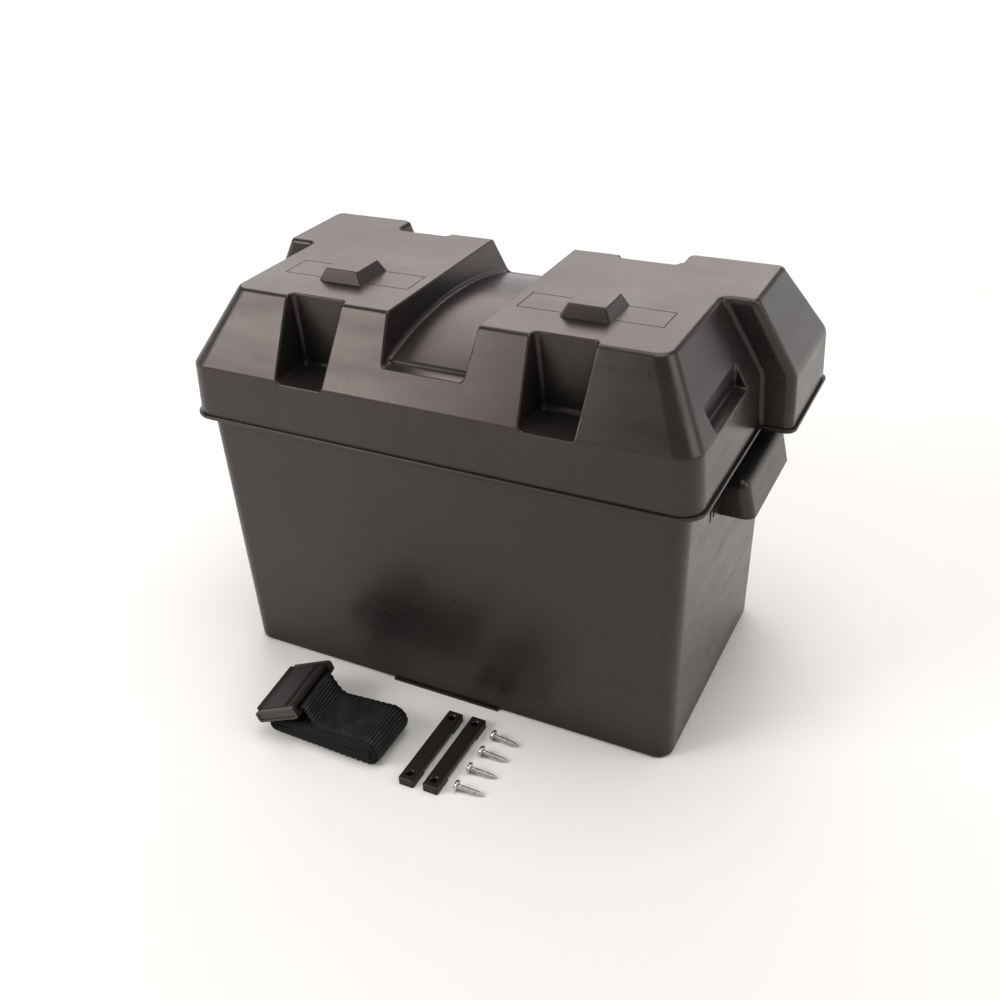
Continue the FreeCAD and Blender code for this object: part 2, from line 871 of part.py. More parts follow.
def make_lid():
    covers = make_covers()
    outside = fuse("lid_outside", [covers, fuse("lid_bead", make_bead())])
    carved = cut("lid_carved", outside, fuse("lid_hollows", hollows("outer", 0)))
    inside = fuse("lid_inside", lid_form("lid_inner", 1))
    kept_in = cut("lid_inside_carved", inside, fuse("lid_hollow_walls", hollows("inner", 1)))
    shell = cut("lid_shell", round_rims(carved, covers), kept_in)
    lines = fuse("frame_lines", [make_frame_line(side) for side in (-1, 1)])
    lined = cut("lid_lined", shell, lines)
    return fuse("lid", [lined, make_stops(kept_in), *[make_cap(side) for side in (-1, 1)]])


# ------------------------------------------------------------------------------------ strap and buckle
def seated(item):
    """Moves a piece from the buckle's own frame, long way along X, to where the buckle lies."""
    turn = Rotation(Vector(0, 0, 1), BUCKLE_YAW) * Rotation(Vector(0, 1, 0), -BUCKLE_TILT)
    item.Placement = Placement(BUCKLE_SEAT, turn) * item.Placement
    return item


def oval(left, left_radius, right, right_radius):
    """A flat face in the XZ plane: the hull of two circles that stand on the floor, left and right."""
    span = right - left
    lean = math.asin((right_radius - left_radius) / span)

    def on_circle(x, radius, angle):
        return Vector(x + radius * math.cos(angle), 0, radius + radius * math.sin(angle))

    rise = math.atan2(right_radius - left_radius, span)
    above = math.pi / 2 + rise + lean
    below = -math.pi / 2 + rise - lean
    outward = (above + below) / 2
    corners = [
        on_circle(left, left_radius, below),
        on_circle(right, right_radius, below),
        on_circle(right, right_radius, above),
        on_circle(left, left_radius, above),
    ]
    edges = [
        Part.LineSegment(corners[0], corners[1]).toShape(),
        Part.Arc(corners[1], on_circle(right, right_radius, outward), corners[2]).toShape(),
        Part.LineSegment(corners[2], corners[3]).toShape(),
        Part.Arc(corners[3], on_circle(left, left_radius, outward + math.pi), corners[0]).toShape(),
    ]
    return Part.Face(Part.Wire(edges))


def make_strap():
    """The wound webbing as one flat oval, with the short lead that climbs to the buckle."""
    wide = Vector(0, number("strap_wide"), 0)
    left_radius, right_radius = number("coil_left_radius"), number("coil_right_radius")
    coil = oval(
        number("coil_left") + left_radius, left_radius, number("coil_right") - right_radius, right_radius
    ).extrude(wide)
    along = (LEAD_END - LEAD_START).normalize()
    up = Vector(along.z, 0, -along.x) * number("lead_thick")
    outline = [LEAD_START, LEAD_END, LEAD_END + up, LEAD_START + up]
    lead = Part.Face(Part.makePolygon([*outline, outline[0]])).extrude(wide)
    strap = doc.addObject("Part::Feature", "strap")
    strap.Shape = coil.fuse(lead).removeSplitter()
    strap.Placement = Placement(Vector(0, number("coil_middle_y - strap_wide / 2"), 0), Rotation())
    return strap


def along_pin(name, radius, half_length):
    """A cylinder about the hinge line, to half_length each way."""
    return cylinder(
        name,
        radius,
        f"2 * ({half_length})",
        Vector(0, 1, 0),
        Placement__Base__x="pin_along",
        Placement__Base__y=f"-({half_length})",
        Placement__Base__z="pin_above",
    )


def make_buckle_frame():
    """Two cheeks joined by a base plate, with an open window and a bar for the strap's sewn end."""
    half_long, half_wide, pin_half = "buckle_long / 2", "buckle_wide / 2", "(buckle_wide / 2 - pin_inset)"
    cheeks = []
    for label, side in (("front", -1), ("rear", 1)):
        cheek = block(
            f"cheek_{label}",
            both_ways(half_long),
            mirrored((f"{half_wide} - cheek_thick", half_wide), side),
            ("0", "buckle_thick"),
        )

        def upright_corner(edge):
            return edge.BoundBox.YLength > 1 and abs(middle(edge).x) > number(half_long) - 1

        rounded = fillet(f"cheek_{label}_rounded", cheek, "cheek_edge", upright_corner)
        panel = block(
            f"cheek_{label}_panel",
            both_ways(f"{half_long} - panel_margin"),
            mirrored((f"{half_wide} - panel_deep", f"{half_wide} + cut_clear"), side),
            ("panel_margin", "buckle_thick - panel_margin"),
        )
        cheeks.append(cut(f"cheek_{label}_panelled", rounded, panel))
    across = both_ways(f"{half_wide} - cheek_thick / 2")
    right_end = f"{half_long} - crossbar_inset"
    left_end = f"-{half_long} + crossbar_inset"
    plate = block("buckle_plate", (f"{right_end} - base_long", right_end), across, ("0", "base_thick"))
    bar = block(
        "buckle_bar", (left_end, f"{left_end} + bar_long"), across, ("bar_above", "bar_above + bar_thick")
    )
    bore = along_pin("buckle_bore", "pin_radius", pin_half)
    return seated(cut("buckle_frame", fuse("buckle_frame_solid", [*cheeks, plate, bar]), bore))


def make_buckle_pin():
    pin = along_pin("buckle_pin_rod", "pin_radius", "(buckle_wide / 2 - pin_inset)")
    return seated(fillet("buckle_pin", pin, "pin_edge", lambda edge: edge.BoundBox.YLength < 0.1))


def make_buckle_lever():
    """The cam lever: a barrel round the pin and a thumb plate between the cheeks with a curled-up end."""
    half = "buckle_wide / 2 - cheek_thick - lever_gap"
    across = both_ways(half)
    left, top = "-buckle_long / 2 + crossbar_inset / 2", "(buckle_thick + lever_proud)"
    barrel = along_pin("lever_barrel", "cam_radius", half)
    plate = block("lever_plate", (left, "lever_right"), across, (f"{top} - lever_thick", top))
    bevelled = doc.addObject("Part::Chamfer", "lever_plate_bevelled")
    doc.recompute()
    bevelled.Base = plate
    bevel = number("lever_bevel")
    bevelled.Edges = [
        (i, bevel, bevel)
        for i, edge in enumerate(plate.Shape.Edges, start=1)
        if level_with(edge, number(top)) and middle(edge).x > number("lever_right") - 1
    ]
    web = block("lever_web", ("web_left", "pin_along"), across, ("web_low", "web_high"))
    curl = taper(
        "lever_curl",
        (top, f"{top} + curl_high"),
        (left, f"{left} + curl_long"),
        across,
        (left, f"{left} + curl_tip"),
        across,
    )
    grip = block(
        "lever_grip",
        (left, f"{left} + grip_long"),
        across,
        (f"{top} - lever_thick - grip_high", f"{top} - lever_thick"),
    )
    bore = along_pin("lever_bore", "pin_radius + pin_clearance", "buckle_wide / 2")
    return seated(cut("buckle_lever", fuse("lever_solid", [barrel, bevelled, web, curl, grip]), bore))


# --------------------------------------------------------------------------------- brackets and screws
def make_bracket(index, centre):
    """A bridge-shaped bar: the strap passes under its middle and a screw goes through each foot."""
    name = f"strap_bracket_{index}"
    body = block(
        f"{name}_body", both_ways("bracket_wide / 2"), both_ways("bracket_long / 2"), ("0", "bracket_high")
    )

    def top_edge(edge):
        return level_with(edge, number("bracket_high")) or edge.BoundBox.ZLength > 1

    body = fillet(f"{name}_rounded", body, "bracket_chamfer", top_edge)
    tools = [
        block(
            f"{name}_slot",
            both_ways("bracket_wide"),
            both_ways("slot_long / 2"),
            ("-cut_clear", "slot_high"),
        ),
    ]
    for label, side in (("front", -1), ("rear", 1)):
        place = {"Placement__Base__y": f"{side} * hole_spacing / 2"}
        hole = cylinder(
            f"{name}_hole_{label}",
            "bracket_hole",
            "bracket_high + 2 * cut_clear",
            Vector(0, 0, 1),
            Placement__Base__z="-cut_clear",
            **place,
        )
        sink = doc.addObject("Part::Cone", f"{name}_sink_{label}")
        bind(
            sink,
            Radius1="bracket_hole",
            Radius2="sink_top",
            Height="sink_high",
            Placement__Base__z="bracket_high - sink_high",
            **place,
        )
        tools.extend((hole, sink))
    item = cut(name, body, fuse(f"{name}_cuts", tools))
    item.Placement = Placement(centre, Rotation())
    return item


def make_screw(index, head, angle):
    """A pan-head self-tapping screw lying on its head's rim and the end of its full thread."""
    name = f"bracket_screw_{index}"
    axis = Vector(0, 0, 1)
    shank = cylinder(f"{name}_shank", "screw_radius", "screw_long - screw_point", axis)
    point = doc.addObject("Part::Cone", f"{name}_point")
    bind(
        point,
        Radius1="screw_radius",
        Radius2="screw_tip",
        Height="screw_point",
        Placement__Base__z="screw_long - screw_point",
    )
    pan = cylinder(f"{name}_pan", "head_radius", "head_high", axis, Placement__Base__z="-head_high")
    rim = fillet(f"{name}_head", pan, "head_edge", lambda edge: level_with(edge, -number("head_high")))
    reach, half = both_ways("recess_reach"), both_ways("recess_half")
    recess = [
        block(f"{name}_recess_{label}", x, y, ("-head_high - cut_clear", "-head_high + recess_deep"))
        for label, x, y in (("long", reach, half), ("cross", half, reach))
    ]
    item = cut(name, fuse(f"{name}_solid", [shank, point, rim]), fuse(f"{name}_recess", recess))
    lean = math.degrees(math.atan(number("(head_radius - screw_radius) / (screw_long - screw_point)")))
    lying = Rotation(Vector(0, 0, 1), angle) * Rotation(Vector(0, 1, 0), 90 + lean)
    lift = number("head_radius") * math.cos(math.radians(lean))
    item.Placement = Placement(head + Vector(0, 0, lift), lying)
    return item


# ------------------------------------------------------------------------------------------- assembly
nodes = {
    "case": make_tub(),
    "lid": make_lid(),
    "strap_webbing": make_strap(),
    "buckle_frame": make_buckle_frame(),
    "buckle_lever": make_buckle_lever(),
    "buckle_pin": make_buckle_pin(),
}
for index, centre in enumerate(BRACKET_CENTRES, start=1):
    nodes[f"strap_bracket_{index}"] = make_bracket(index, centre)
for index, (head, angle) in enumerate(SCREW_HEADS, start=1):
    nodes[f"bracket_screw_{index}"] = make_screw(index, head, angle)
for label, item in nodes.items():
    item.Label = label
doc.recompute()

for item in doc.Objects:
    if {"Invalid", "Error"} & set(item.State):
        raise RuntimeError(f"{item.Name} failed: {item.State}")
for label, item in nodes.items():
    if item.Shape.isNull() or not item.Shape.isValid() or len(item.Shape.Solids) != 1:
        raise RuntimeError(f"{label} isn't one valid solid")

os.makedirs("parts", exist_ok=True)
for label, item in nodes.items():
    item.Shape.exportStep(f"parts/{label}.step")
    box = item.Shape.BoundBox
    print(f"{label:18s} {item.Shape.Volume / 1000:9.2f} cm3  z {box.ZMin:7.2f} to {box.ZMax:7.2f}")
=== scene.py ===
"""Looks of the battery box: materials, the wound webbing strap, threaded screws, studio and camera."""

import math

import bmesh
import bpy
from mathutils import Matrix, Vector


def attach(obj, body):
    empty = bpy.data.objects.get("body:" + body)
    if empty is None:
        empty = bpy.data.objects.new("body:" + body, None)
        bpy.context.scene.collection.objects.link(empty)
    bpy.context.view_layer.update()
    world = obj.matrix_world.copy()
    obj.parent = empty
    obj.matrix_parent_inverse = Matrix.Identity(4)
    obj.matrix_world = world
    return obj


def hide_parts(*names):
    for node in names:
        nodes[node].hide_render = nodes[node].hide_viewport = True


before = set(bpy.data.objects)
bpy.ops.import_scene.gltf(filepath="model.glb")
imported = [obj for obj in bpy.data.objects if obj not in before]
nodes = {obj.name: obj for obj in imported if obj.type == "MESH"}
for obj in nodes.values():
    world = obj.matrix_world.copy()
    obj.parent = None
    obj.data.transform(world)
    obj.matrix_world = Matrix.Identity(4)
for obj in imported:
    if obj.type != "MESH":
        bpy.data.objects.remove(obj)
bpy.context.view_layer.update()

MM = 0.001

# The strap's coil, seen from the front: the hull of two circles that stand on the floor.
COIL_LEFT = -97.0 * MM
COIL_RIGHT = -4.0 * MM
LEFT_RADIUS = 7.6 * MM
RIGHT_RADIUS = 11.0 * MM
TIGHTEST_FOLD = 1.0 * MM
COIL_PITCH = 1.12 * MM
COIL_TURNS = 8.2
COIL_MIDDLE_Y = -159.8 * MM
COIL_SWAY = 0.9 * MM
SWAY_RATE = 1.7
POINTS_PER_TURN = 120

# The webbing. Only the outer turn, which is seen, has the high ribs and the scalloped edges.
STRAP_WIDE = 40.0 * MM
STRAP_THICK = 0.85 * MM
ACROSS_STEPS = 8
EDGE_THINNING = 0.45
EDGE_WAVE = 0.15 * MM
EDGE_WAVE_LONG = 21 * MM
OUTER_TURN_LONG = 250.0 * MM
OUTER_FADE = 20 * MM
RIB_PITCH = 2.3 * MM
RIB_HIGH = 0.14 * MM
OUTER_RIB_HIGH = 0.8 * MM
RIB_RISE = 30 * MM
RINGS_PER_RIB = 6
SCALLOP_PITCH = 2 * RIB_PITCH
SCALLOP_DEEP = 0.8 * MM
YARN_PITCH = 1.2 * MM
# Across the webbing: where the painted ridge highlight starts to fade towards the edges, and where it is
# faint.
WEB_EDGE_INNER = 18.0 * MM
WEB_EDGE_OUTER = 19.2 * MM

# The buckle's own frame: long way along its X, turned and tilted to lie on the coil.
BUCKLE_SEAT = Vector((-83.8, -157.9, 19.3)) * MM
BUCKLE_YAW = math.radians(6)
BUCKLE_TILT = math.radians(-22)
BUCKLE_TURN = Matrix.Rotation(BUCKLE_YAW, 4, "Z") @ Matrix.Rotation(BUCKLE_TILT, 4, "Y")

# The lead: straight inside the buckle, in the buckle's frame, then a curve down to the outer turn.
LEAD_START = 14.6 * MM
LEAD_STEP = 1.8 * MM
LEAD_HIGH = 2.35 * MM
LEAD_INSIDE = 3
CURVE_STEPS = 12
CURVE_PULL = 0.42
KNEE_PULL = 0.35
YAW_FADE = 58 * MM
# Places on a turn, as parts of it: where the curve joins, and a later one, for its direction there.
JOIN_AT = 0.18
LANDING_AT = 0.15
SHORTEST_STEP = 1e-9

# The screw's own frame: its axis along +Z, the head's bearing face at 0.
SCREW_LONG = 19.0 * MM
SCREW_RADIUS = 2.1 * MM
SCREW_ROOT = 1.45 * MM
SCREW_POINT = 5.0 * MM
SCREW_PITCH = 1.35 * MM
SCREW_SIDES = 28
ROWS_PER_PITCH = 10
TIP_SIZE = 0.04
TIP_CURVE = 0.85
CREST_HALF_WIDE = 0.24
THREAD_START = 1.4 * MM
THREAD_RUN_IN = 1.2 * MM
HEAD_RADIUS = 4.0 * MM
HEAD_HIGH = 2.6 * MM
HEAD_SIDES = 48
HEAD_BEVEL = 0.15 * MM
HEAD_WALL = 0.75 * MM
HEAD_ROUND = 1.5 * MM
DOME_PART = 0.96
DOME_STEPS = 7
# The cross recess: half its length, half its width and the height, at its mouth and at its floor.
RECESS_MOUTH = (2.0 * MM, 0.5 * MM, -3.0 * MM)
RECESS_FLOOR = (0.9 * MM, 0.32 * MM, -0.85 * MM)
# Each screw: where its head rests on the floor, and the way it points, in degrees from +X.
SCREW_HEADS = (
    (Vector((54.3, -123.1, 0)) * MM, -0.5),
    (Vector((53.8, -140.1, 0)) * MM, 3.1),
    (Vector((53.8, -157.1, 0)) * MM, 4.5),
    (Vector((53.4, -174.7, 0)) * MM, 6.0),
)
# Degrees: each screw's turn about its own axis from the one before, and the sharpest smooth edge.
SCREW_SPIN = 37
SCREW_CREASE = 40

# Plastics: darkest and lightest colour, roughness, and how strong the surface's relief is.
BOX_BLACK = ((0.010, 0.009, 0.0083, 1), (0.016, 0.0145, 0.0135, 1))
PLASTICS = {
    "case_plastic": (*BOX_BLACK, 0.3, 1.0),
    "lid_plastic": (*BOX_BLACK, 0.3, 1.0),
    "buckle_plastic": ((0.022, 0.020, 0.018, 1), (0.030, 0.028, 0.025, 1), 0.28, 0.3),
    "lever_plastic": ((0.004, 0.0036, 0.0033, 1), (0.007, 0.0063, 0.0057, 1), 0.55, 0.3),
    "bracket_plastic": ((0.005, 0.0045, 0.004, 1), (0.009, 0.008, 0.007, 1), 0.33, 0.3),
}
NODE_PLASTICS = {
    "case": "case_plastic",
    "lid": "lid_plastic",
    "buckle_frame": "buckle_plastic",
    "buckle_lever": "lever_plastic",
    "strap_bracket_1": "bracket_plastic",
    "strap_bracket_2": "bracket_plastic",
}
# How far the plastics' painted shade in corners and recesses reaches.
SHADE_REACH = 45 * MM
PLASTIC_IOR = 1.49

# The studio, in metres and watts. The floor glows far from the middle, to meet the white background.
FLOOR_RADIUS = 6.0
FLOOR_RINGS = 26
FLOOR_SIDES = 96
GLOW_START = 0.8
GLOW_FULL = 2.2
GLOW_STRENGTH = 0.75
WARM = (1.0, 0.965, 0.94)
# Each light: its place, what it points at, its size, its power and its colour.
LIGHTS = {
    "overhead": ((0.15, 0.1, 1.9), (0, 0, 0.1), (1.3, 1.3), 17.0, WARM),
    "side": ((1.5, 0.2, 1.2), (0, 0, 0.1), (0.9, 0.9), 7.0, WARM),
    "back": ((-0.75, 1.35, 1.35), (0, 0, 0.25), (1.8, 1.2), 17.5, (1.0, 0.91, 0.9)),
    "front": ((-1.15, -1.25, 1.2), (-0.05, 0, 0.2), (0.9, 0.8), 18.0, WARM),
}
# The sky's strength, from just over the horizon to higher up; the heights are sines of the elevation.
SKY_FADE = {"From Min": 0.02, "From Max": 0.4, "To Min": 1.1, "To Max": 0.32}

# The camera, about a point over the middle of the case; angles in degrees, lens and sensor in mm.
VIEW_AZIMUTH = 28.13
VIEW_ELEVATION = 31.73
VIEW_ROLL = -2.87
VIEW_DISTANCE = 0.829
VIEW_TARGET = Vector((0.0014, 0.0007, 0.1124))
VIEW_LENS = 40.18
VIEW_SENSOR = 36.0
VIEW_CLIP = 0.01


# ------------------------------------------------------------------------------------------ materials
class Surface:
    """A material's node tree, with short calls for the nodes used here."""

    # A Mix node has sockets for every kind of value; these are the ones that it uses for colours.
    MIX_FACTOR, MIX_A, MIX_B, MIX_RESULT = "0", "6", "7", 2

    def __init__(self, name):
        self.material = bpy.data.materials.new(name)
        self.material.use_nodes = True
        self.tree = self.material.node_tree
        self.shader = self.tree.nodes["Principled BSDF"]

    def node(self, kind, settings=(), **inputs):
        """Adds a node; an input's name has _ for each space, or is the socket's number."""
        item = self.tree.nodes.new(kind)
        for name, value in dict(settings).items():
            setattr(item, name, value)
        for name, value in inputs.items():
            self.put(item, name.replace("_", " "), value)
        return item

    def put(self, item, name, value):
        """Links a socket to the input, or sets the input to a constant."""
        socket = item.inputs[int(name)] if name.isdigit() else item.inputs[name]
        if isinstance(value, bpy.types.NodeSocket):
            self.tree.links.new(value, socket)
        else:
            socket.default_value = value

    def place(self, kind="Object"):
        return self.node("ShaderNodeTexCoord").outputs[kind]

    def stretched(self, vector, scale):
        return self.node("ShaderNodeMapping", Vector=vector, Scale=scale).outputs[0]

    def noise(self, vector, scale, detail, roughness=0.5):
        item = self.node(
            "ShaderNodeTexNoise", Vector=vector, Scale=scale, Detail=detail, Roughness=roughness
        )
        return item.outputs["Fac"]

    def ramp(self, value, low, high, to_low=0.0, to_high=1.0, curve="LINEAR"):
        """The value mapped from low..high to to_low..to_high, and held at both ends."""
        item = self.node(
            "ShaderNodeMapRange",
            {"interpolation_type": curve},
            Value=value,
            From_Min=low,
            From_Max=high,
            To_Min=to_low,
            To_Max=to_high,
        )
        return item.outputs["Result"]

    def math(self, operation, a, b=0.0):
        item = self.node("ShaderNodeMath", {"operation": operation}, **{"0": a, "1": b})
        return item.outputs[0]

    def mix(self, factor, a, b):
        """The colour a where the factor is 0 and b where it is 1."""
        inputs = {self.MIX_FACTOR: factor, self.MIX_A: a, self.MIX_B: b}
        return self.node("ShaderNodeMix", {"data_type": "RGBA"}, **inputs).outputs[self.MIX_RESULT]

    def bump(self, height, distance, strength, normal=None):
        item = self.node("ShaderNodeBump", Height=height, Distance=distance, Strength=strength)
        if normal is not None:
            self.put(item, "Normal", normal)
        return item.outputs["Normal"]

    def set(self, **inputs):
        """Sets the shader's inputs and returns the finished material."""
        for name, value in inputs.items():
            self.put(self.shader, name.replace("_", " "), value)
        return self.material


def moulded_plastic(name, dark, light, roughness, relief):
    """Satin moulded plastic: faint flow clouds, a fine grain, small rubs, and painted shade that darkens
    the colour and weakens the reflections in corners and recesses.
    """
    s = Surface(name)
    at = s.place()
    clouds = s.noise(at, scale=9.0, detail=4.0, roughness=0.55)
    specks = s.noise(at, scale=260.0, detail=1.0)
    tone = s.math(
        "ADD", s.ramp(clouds, 0.35, 0.65, to_high=0.75), s.ramp(specks, 0.4, 0.7, to_high=0.25)
    )
    rubs = s.noise(s.stretched(at, (14.0, 14.0, 70.0)), scale=1.0, detail=5.0, roughness=0.65)
    gloss = s.math(
        "ADD",
        s.ramp(rubs, 0.35, 0.7, to_low=roughness - 0.04, to_high=roughness + 0.05),
        s.ramp(specks, 0.3, 0.7, to_low=-0.01, to_high=0.01),
    )
    sink = s.bump(s.noise(at, scale=16.0, detail=2.0), distance=0.5 * MM * relief, strength=0.3)
    grain = s.noise(at, scale=700.0, detail=1.0, roughness=0.4)
    fine = s.bump(grain, distance=0.02 * MM * relief, strength=0.1, normal=sink)
    # Painted shade: ambient occlusion darkens the base colour and weakens the reflections in corners,
    # recesses and between parts.
    open_air = s.node("ShaderNodeAmbientOcclusion", {"samples": 8}, Distance=SHADE_REACH)
    painted_cavity_shade = s.ramp(open_air.outputs["AO"], 0.25, 0.85)
    return s.set(
        Base_Color=s.mix(s.math("MULTIPLY", tone, painted_cavity_shade), dark, light),
        Roughness=gloss,
        Normal=fine,
        IOR=PLASTIC_IOR,
        Specular_IOR_Level=s.ramp(painted_cavity_shade, 0.0, 1.0, to_low=0.12, to_high=0.5),
        Specular_Tint=(1.0, 0.87, 0.83, 1),
    )


def webbing():
    """Black woven webbing; u runs across it and v along it, in metres."""
    s = Surface("woven_webbing")
    uv = s.place("UV")
    across, along = s.node("ShaderNodeSeparateXYZ", Vector=uv).outputs[:2]
    # Painted highlight: the base colour is lighter along each rib's ridge and darker in the grooves, in
    # patches, and fades towards the webbing's edges.
    painted_ridge_highlight = s.math("ABSOLUTE", s.math("SINE", s.math("MULTIPLY", along, math.pi / RIB_PITCH)))
    yarn = s.math("SINE", s.math("MULTIPLY", across, 2 * math.pi / YARN_PITCH))
    weave = s.math("SINE", s.math("ADD", s.math("MULTIPLY", along, 4 * math.pi / RIB_PITCH), yarn))
    fuzz = s.noise(uv, scale=2600.0, detail=4.0, roughness=0.7)
    height = s.math("ADD", s.ramp(weave, -1.0, 1.0), s.math("MULTIPLY", fuzz, 0.8))
    patch_noise = s.noise(s.place(), scale=90.0, detail=3.0)
    highlight_patchiness = s.math(
        "MULTIPLY", s.ramp(patch_noise, 0.35, 0.65, to_low=0.25), s.ramp(fuzz, 0.35, 0.6, to_low=0.4)
    )
    aside = s.math("ABSOLUTE", across)
    inward = s.ramp(aside, WEB_EDGE_INNER, WEB_EDGE_OUTER, to_low=1.0, to_high=0.12)
    # The painted ridge highlight, broken into patches and faded at the edges, mixed between the
    # near-black and the lighter colour.
    tone = s.math("MULTIPLY", s.math("MULTIPLY", s.ramp(painted_ridge_highlight, 0.75, 1.0), highlight_patchiness), inward)
    return s.set(
        Base_Color=s.mix(tone, (0.002, 0.0018, 0.0016, 1), (0.07, 0.064, 0.057, 1)),
        Roughness=s.ramp(fuzz, 0.3, 0.7, to_low=0.5, to_high=0.75),
        Normal=s.bump(height, distance=0.16 * MM, strength=0.8),
        Specular_IOR_Level=0.28,
    )


def plated_steel():
    """Bright plated steel with fine drawing marks and dull patches."""
    s = Surface("plated_steel")
    at = s.place()
    dull = s.noise(at, scale=240.0, detail=4.0, roughness=0.6)
    marks = s.noise(s.stretched(at, (400.0, 3000.0, 3000.0)), scale=1.0, detail=3.0)
    return s.set(
        Base_Color=s.mix(s.ramp(dull, 0.35, 0.7), (0.62, 0.6, 0.56, 1), (0.42, 0.4, 0.37, 1)),
        Metallic=1.0,
        Roughness=s.ramp(dull, 0.3, 0.7, to_low=0.2, to_high=0.36),
        Normal=s.bump(marks, distance=0.03 * MM, strength=0.6),
    )


def studio_white():
    """The floor's white, with a glow that grows with the distance from the middle."""
    s = Surface("studio_white")
    at = s.place()
    away = s.node("ShaderNodeVectorMath", {"operation": "LENGTH"}, **{"0": at}).outputs["Value"]
    glow = s.ramp(away, GLOW_START, GLOW_FULL, to_high=GLOW_STRENGTH, curve="SMOOTHSTEP")
    cloud = s.noise(at, scale=3.0, detail=2.0)
    return s.set(
        Base_Color=s.mix(cloud, (0.87, 0.86, 0.84, 1), (0.89, 0.88, 0.86, 1)),
        Emission_Color=(1.0, 1.0, 1.0, 1),
        Emission_Strength=glow,
        Roughness=0.7,
        Specular_IOR_Level=0.2,
    )


def dress(item, material):
    """Makes the material the object's only one."""
    item.data.materials.clear()
    item.data.materials.append(material)


# --------------------------------------------------------------------------------------------- meshes
def ring_point(radius, i, count, height=0.0):
    """Point i of count round a circle about Z, at the height."""
    angle = 2 * math.pi * i / count
    return Vector((radius * math.cos(angle), radius * math.sin(angle), height))


def loose_object(name, bm):
    """Makes an object from a bmesh, which is freed."""
    mesh = bpy.data.meshes.new(name)
    bm.to_mesh(mesh)
    bm.free()
    item = bpy.data.objects.new(name, mesh)
    bpy.context.scene.collection.objects.link(item)
    return item


def new_piece(name, bm, material, body, replaces):
    """Makes a smooth object from a bmesh, with its material and body, and hides the nodes it replaces.
    """
    piece = loose_object(name, bm)
    dress(piece, material)
    for polygon in piece.data.polygons:
        polygon.use_smooth = True
    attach(piece, body)
    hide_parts(*replaces)
    return piece


class CoilTurn:
    """One turn of the coil, inset from the outer one: an arc at each end joined by straight runs."""

    def __init__(self, inset):
        self.inset = inset
        self.left_radius = max(LEFT_RADIUS - inset, TIGHTEST_FOLD)
        self.right_radius = RIGHT_RADIUS - inset
        span = (COIL_RIGHT - RIGHT_RADIUS) - (COIL_LEFT + LEFT_RADIUS)
        grow = 2 * (RIGHT_RADIUS - LEFT_RADIUS) / span
        short = max(0.0, inset + TIGHTEST_FOLD - LEFT_RADIUS) * 2 / grow
        self.left_x = COIL_LEFT + LEFT_RADIUS + short
        self.right_x = COIL_RIGHT - RIGHT_RADIUS

    def point(self, t):
        """The point at t from 0 to 1: top run, left arc, bottom run, right arc."""
        left = Vector((self.left_x, 0, self.inset + self.left_radius))
        right = Vector((self.right_x, 0, self.inset + self.right_radius))
        axis = right - left
        reach = axis.length
        tilt = math.atan2(axis.z, axis.x)
        lean = math.asin(min(1.0, (self.right_radius - self.left_radius) / reach))
        above, below = math.pi / 2 + tilt + lean, -math.pi / 2 + tilt - lean
        left_turn = (below + 2 * math.pi) - above
        right_turn = above - below
        run = math.sqrt(reach ** 2 - (self.right_radius - self.left_radius) ** 2)
        stretches = (run, left_turn * self.left_radius, run, right_turn * self.right_radius)
        at = (t % 1.0) * sum(stretches)
        i = 0
        while i < len(stretches) - 1 and at > stretches[i]:
            at -= stretches[i]
            i += 1
        part = at / stretches[i]
        if i == 0:
            out = self.direction(above)
            return (right + out * self.right_radius).lerp(left + out * self.left_radius, part)
        if i == 1:
            return left + self.direction(above + left_turn * part) * self.left_radius
        if i == 2:
            out = self.direction(below)
            return (left + out * self.left_radius).lerp(right + out * self.right_radius, part)
        return right + self.direction(below + right_turn * part) * self.right_radius

    @staticmethod
    def direction(angle):
        return Vector((math.cos(angle), 0, math.sin(angle)))


def strap_path():
    """The webbing's middle line, from the buckle down onto the coil and in to its middle."""
    half = (STRAP_THICK + OUTER_RIB_HIGH) / 2
    points = []
    for i in range(LEAD_INSIDE):
        points.append(BUCKLE_SEAT + BUCKLE_TURN @ Vector((LEAD_START + LEAD_STEP * i, 0, LEAD_HIGH)))

    start, slope = points[-1], (points[-1] - points[-2]).normalized()
    slope = Vector((slope.x, 0, slope.z)).normalized()
    join, landing = CoilTurn(half).point(JOIN_AT), CoilTurn(half).point(LANDING_AT)
    first = Vector((start.x, 0, start.z))
    pull = (first - join).length * CURVE_PULL
    knee, toe = first + slope * pull * KNEE_PULL, join - (landing - join).normalized() * pull
    for i in range(1, CURVE_STEPS + 1):
        s = i / CURVE_STEPS
        weights = ((1 - s) ** 3, 3 * s * (1 - s) ** 2, 3 * s * s * (1 - s), s ** 3)
        point = sum((p * w for p, w in zip((first, knee, toe, join), weights)), Vector())
        point.y = start.y * (1 - s) + COIL_MIDDLE_Y * s
        points.append(point)

    for i in range(1, int(COIL_TURNS * POINTS_PER_TURN)):
        turns = i / POINTS_PER_TURN
        point = CoilTurn(half + COIL_PITCH * turns).point(JOIN_AT - turns)
        point.y = COIL_MIDDLE_Y + COIL_SWAY * math.sin(turns * SWAY_RATE) * min(1.0, turns)
        points.append(point)
    return points


def resampled(points, step):
    """The path's points spaced evenly, each with its distance along it, and the path's length."""
    lengths = [0.0]
    for a, b in zip(points, points[1:]):
        lengths.append(lengths[-1] + (b - a).length)
    total = lengths[-1]
    count = int(total / step)
    evenly, i = [], 0
    for k in range(count + 1):
        at = total * k / count
        while i < len(lengths) - 2 and lengths[i + 1] < at:
            i += 1
        part = (at - lengths[i]) / max(lengths[i + 1] - lengths[i], SHORTEST_STEP)
        evenly.append((points[i].lerp(points[i + 1], part), at))
    return evenly, total


